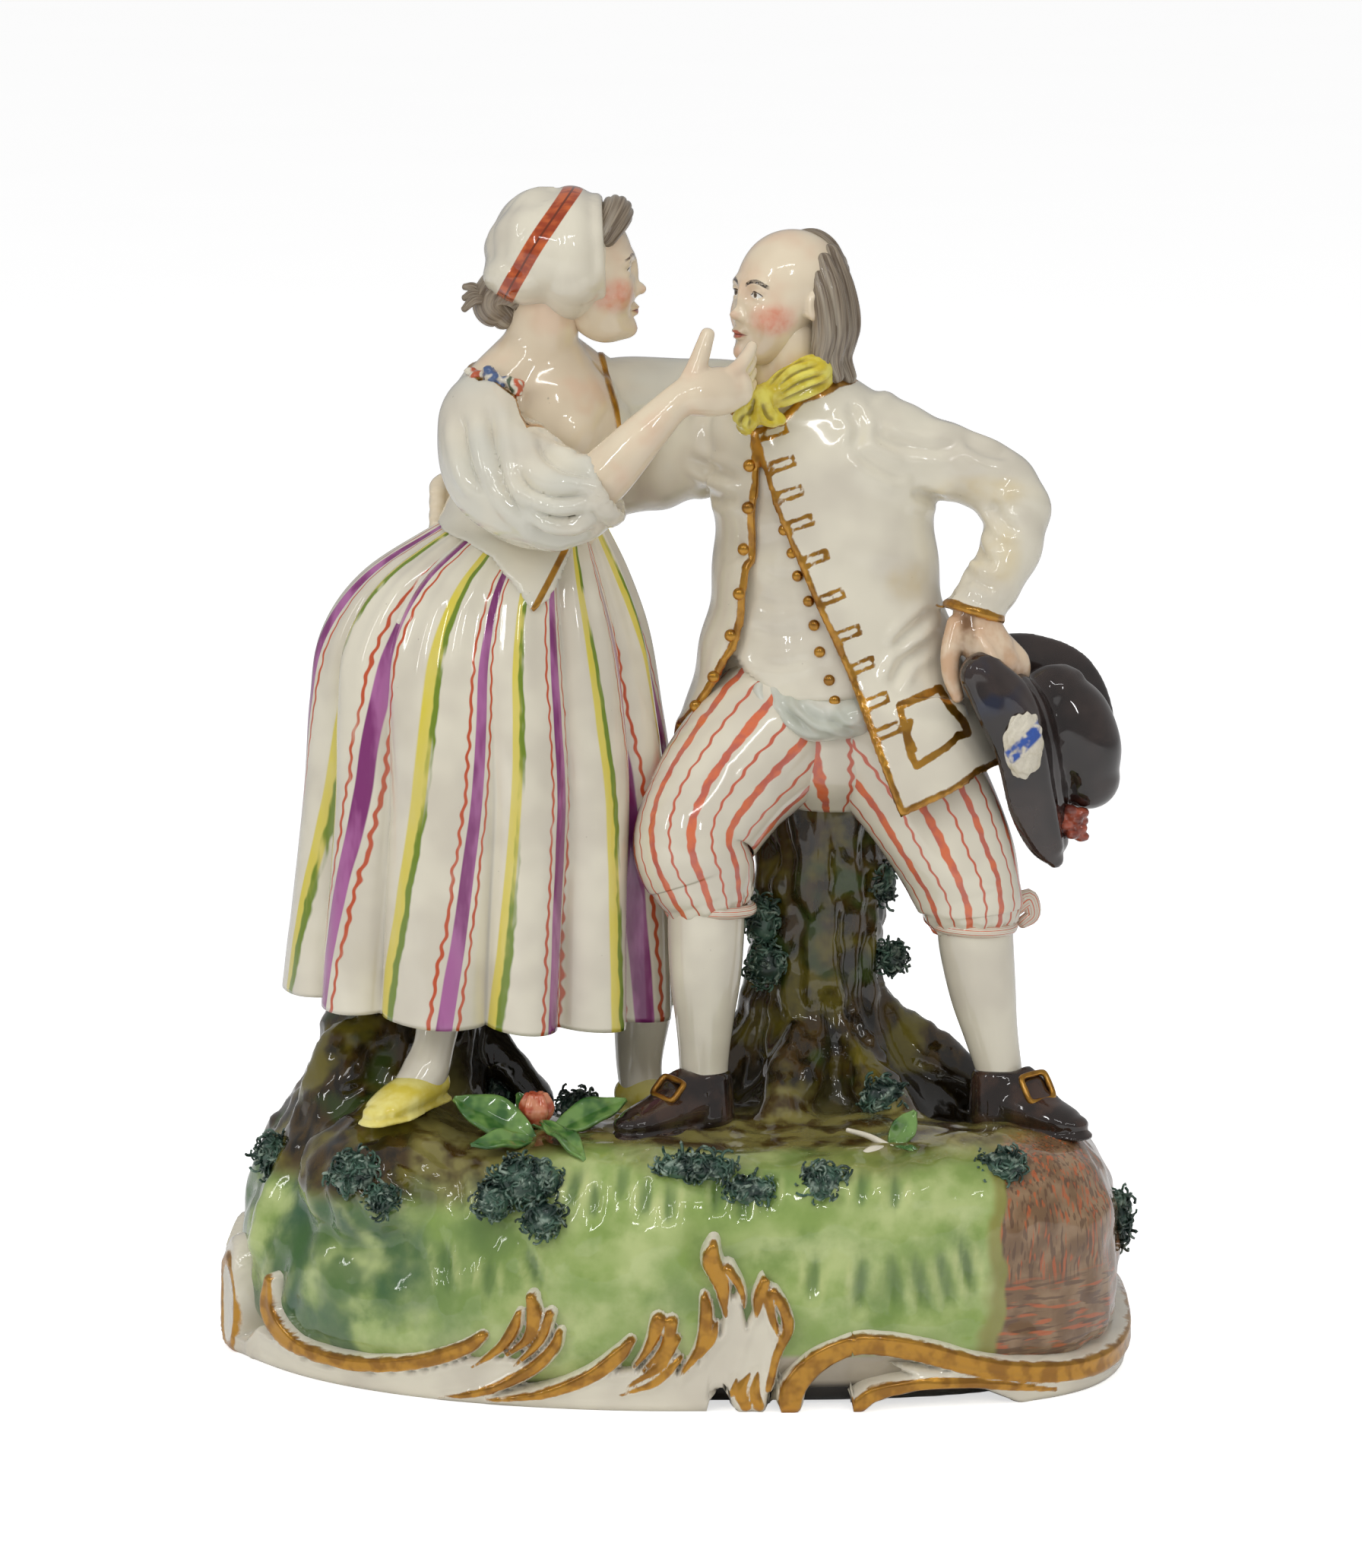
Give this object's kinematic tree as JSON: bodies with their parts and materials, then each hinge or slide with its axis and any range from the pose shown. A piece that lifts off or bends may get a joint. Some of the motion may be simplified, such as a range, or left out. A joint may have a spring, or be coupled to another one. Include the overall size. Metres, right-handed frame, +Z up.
{
  "type": "porcelain figure group",
  "caption": "Glazed porcelain group of a woman in a striped skirt and a man in a long coat on a grassy mound with tree stumps and a gilt scroll foot.",
  "frame": {"origin": "centre of the flat underside of the base, on the surface that the group stands on", "axes": "+Z up; the front, where both figures show best, faces -Y; +X runs from the woman to the man"},
  "size_m": [0.1359, 0.0898, 0.172],
  "materials": {
    "white_glaze": "warm white glazed porcelain, glossy",
    "coloured_enamel": "painted overglaze enamels, glossy",
    "green_ground": "mottled green and brown glaze with tooled strokes",
    "dark_enamel": "black-brown enamel, glossy",
    "moss_clay": "shredded clay moss, dark blue-green",
    "gilding": "burnished gilding over the glaze"
  },
  "bodies": {
    "root": {"figure_group": "white_glaze"}
  },
  "joints": []
}
